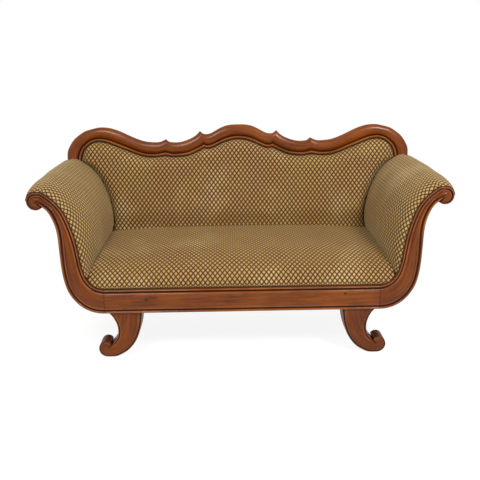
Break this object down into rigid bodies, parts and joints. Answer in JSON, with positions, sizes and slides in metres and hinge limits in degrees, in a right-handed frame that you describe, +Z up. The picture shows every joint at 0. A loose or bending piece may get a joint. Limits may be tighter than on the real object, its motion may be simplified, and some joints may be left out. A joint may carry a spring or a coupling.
{
  "type": "loveseat",
  "caption": "Scroll-arm settee with a tightly upholstered seat, back and arms in a moulded mahogany frame with a serpentine crest.",
  "frame": {"origin": "on the floor, midway between the arms and midway from front to back", "axes": "+X to the right as seen from the front, +Y from the front to the back, +Z up"},
  "size_m": [1.9144, 0.75, 1.0106],
  "materials": {
    "polished_mahogany": "reddish-brown mahogany, French polished to a high gloss",
    "beech_frame": "plain beech, sawn and planed, unpolished",
    "lattice_cloth": "woven upholstery cloth, small ochre diamonds in a dark brown diagonal lattice",
    "jute": "plain jute webbing and hessian",
    "bottom_lining": "thin dark dust lining",
    "steel": "plain drawn wire and screws",
    "braid": "narrow dark brown braid"
  },
  "bodies": {
    "root": {"front_rail": "polished_mahogany", "rear_rail": "beech_frame", "side_rail_left": "beech_frame", "side_rail_right": "beech_frame", "side_apron_left": "polished_mahogany", "side_apron_right": "polished_mahogany", "arm_base_rail_left": "beech_frame", "arm_base_rail_right": "beech_frame", "webbing_battens": "beech_frame", "seat_brace": "beech_frame", "corner_blocks": "beech_frame", "corner_screws": "steel", "front_foot_left": "polished_mahogany", "front_foot_right": "polished_mahogany", "rear_foot_left": "polished_mahogany", "rear_foot_right": "polished_mahogany", "foot_tenons": "beech_frame", "rail_tenons": "beech_frame", "arm_facing_left": "polished_mahogany", "arm_facing_right": "polished_mahogany", "arm_pole_left": "beech_frame", "arm_pole_right": "beech_frame", "back_stile_left": "polished_mahogany", "back_stile_right": "polished_mahogany", "back_bottom_rail": "beech_frame", "crest_rail": "polished_mahogany", "crest_tenons": "beech_frame", "seat_webbing": "jute", "seat_springs": "steel", "seat_hessian": "jute", "seat_cushion": "lattice_cloth", "back_webbing": "jute", "back_hessian": "jute", "back_cushion": "lattice_cloth", "arm_webbing_left": "jute", "arm_webbing_right": "jute", "arm_hessian_left": "jute", "arm_hessian_right": "jute", "arm_cushion_left": "lattice_cloth", "arm_cushion_right": "lattice_cloth", "outside_arm_left": "lattice_cloth", "outside_arm_right": "lattice_cloth", "outside_back": "lattice_cloth", "bottom_cloth": "bottom_lining", "seat_gimp": "braid", "arm_gimp_left": "braid", "arm_gimp_right": "braid", "back_gimp": "braid"}
  },
  "joints": []
}
